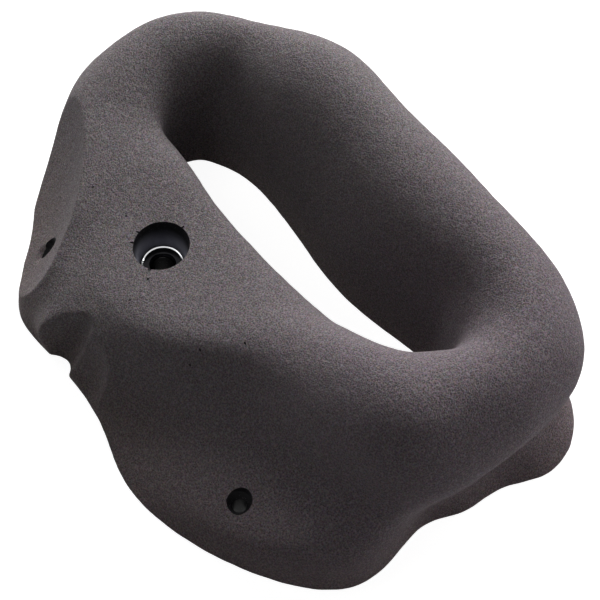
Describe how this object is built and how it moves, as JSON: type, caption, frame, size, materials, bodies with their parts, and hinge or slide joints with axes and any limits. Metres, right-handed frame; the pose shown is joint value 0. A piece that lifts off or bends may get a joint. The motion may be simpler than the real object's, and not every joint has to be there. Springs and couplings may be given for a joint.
{
  "type": "climbing hold",
  "caption": "Ring-shaped jug climbing hold of sand-textured resin with a flat back, a bolt plate with a steel seat washer, and countersunk screw holes.",
  "frame": {"origin": "middle of the hold's length and width, on the flat back that lies on the wall", "axes": "+Z out of the wall, +X along the ring towards its raised end, -Y towards the plate with the bolt hole"},
  "size_m": [0.3162, 0.2146, 0.083],
  "materials": {
    "resin": "sand-textured, charcoal with a faint purple-brown cast",
    "steel": "zinc plated, bright rolled edges"
  },
  "bodies": {
    "root": {"hold_body": "resin", "seat_washer": "steel"}
  },
  "joints": []
}
